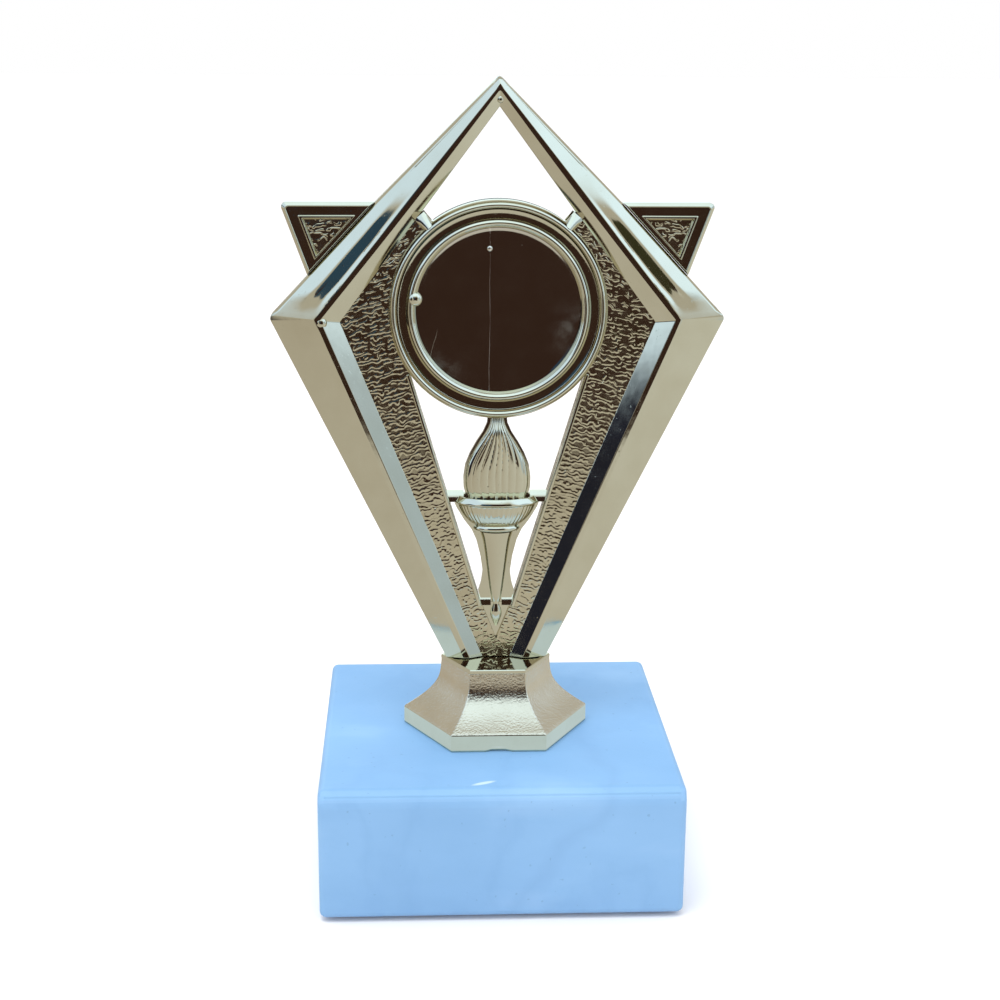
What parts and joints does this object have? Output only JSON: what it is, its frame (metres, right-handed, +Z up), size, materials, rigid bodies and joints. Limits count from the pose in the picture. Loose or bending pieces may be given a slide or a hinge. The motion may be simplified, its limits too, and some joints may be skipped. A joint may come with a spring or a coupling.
{
  "type": "diamond torch trophy",
  "caption": "Free-standing award: a plated diamond frame with a round emblem recess, star points and a torch, on a flared hexagonal foot bolted to a marble block.",
  "frame": {"origin": "resting plane below the middle of the marble block", "axes": "+Z up, -Y towards the front, +X to the viewer's right"},
  "size_m": [0.072, 0.057, 0.1278],
  "materials": {
    "plated_plastic": "vacuum-metallised plastic, polished pale champagne gold",
    "satin_plastic": "vacuum-metallised plastic over a fine satin grain, pale champagne gold",
    "marble": "honed pale blue-white marble with faint veins",
    "zinc_steel": "zinc-plated steel",
    "felt": "dark self-adhesive felt"
  },
  "bodies": {
    "root": {"marble_base": "marble", "base_pads": "felt", "threaded_stud": "zinc_steel", "captive_nut": "zinc_steel", "flat_washer": "zinc_steel", "spring_washer": "zinc_steel", "clamp_nut": "zinc_steel", "foot": "satin_plastic", "neck_plate": "plated_plastic", "front_frame": "plated_plastic", "rear_frame": "plated_plastic", "left_wing": "plated_plastic", "right_wing": "plated_plastic", "emblem_ring": "plated_plastic", "front_seat_plate": "plated_plastic", "rear_seat_plate": "plated_plastic", "torch": "plated_plastic"}
  },
  "joints": []
}
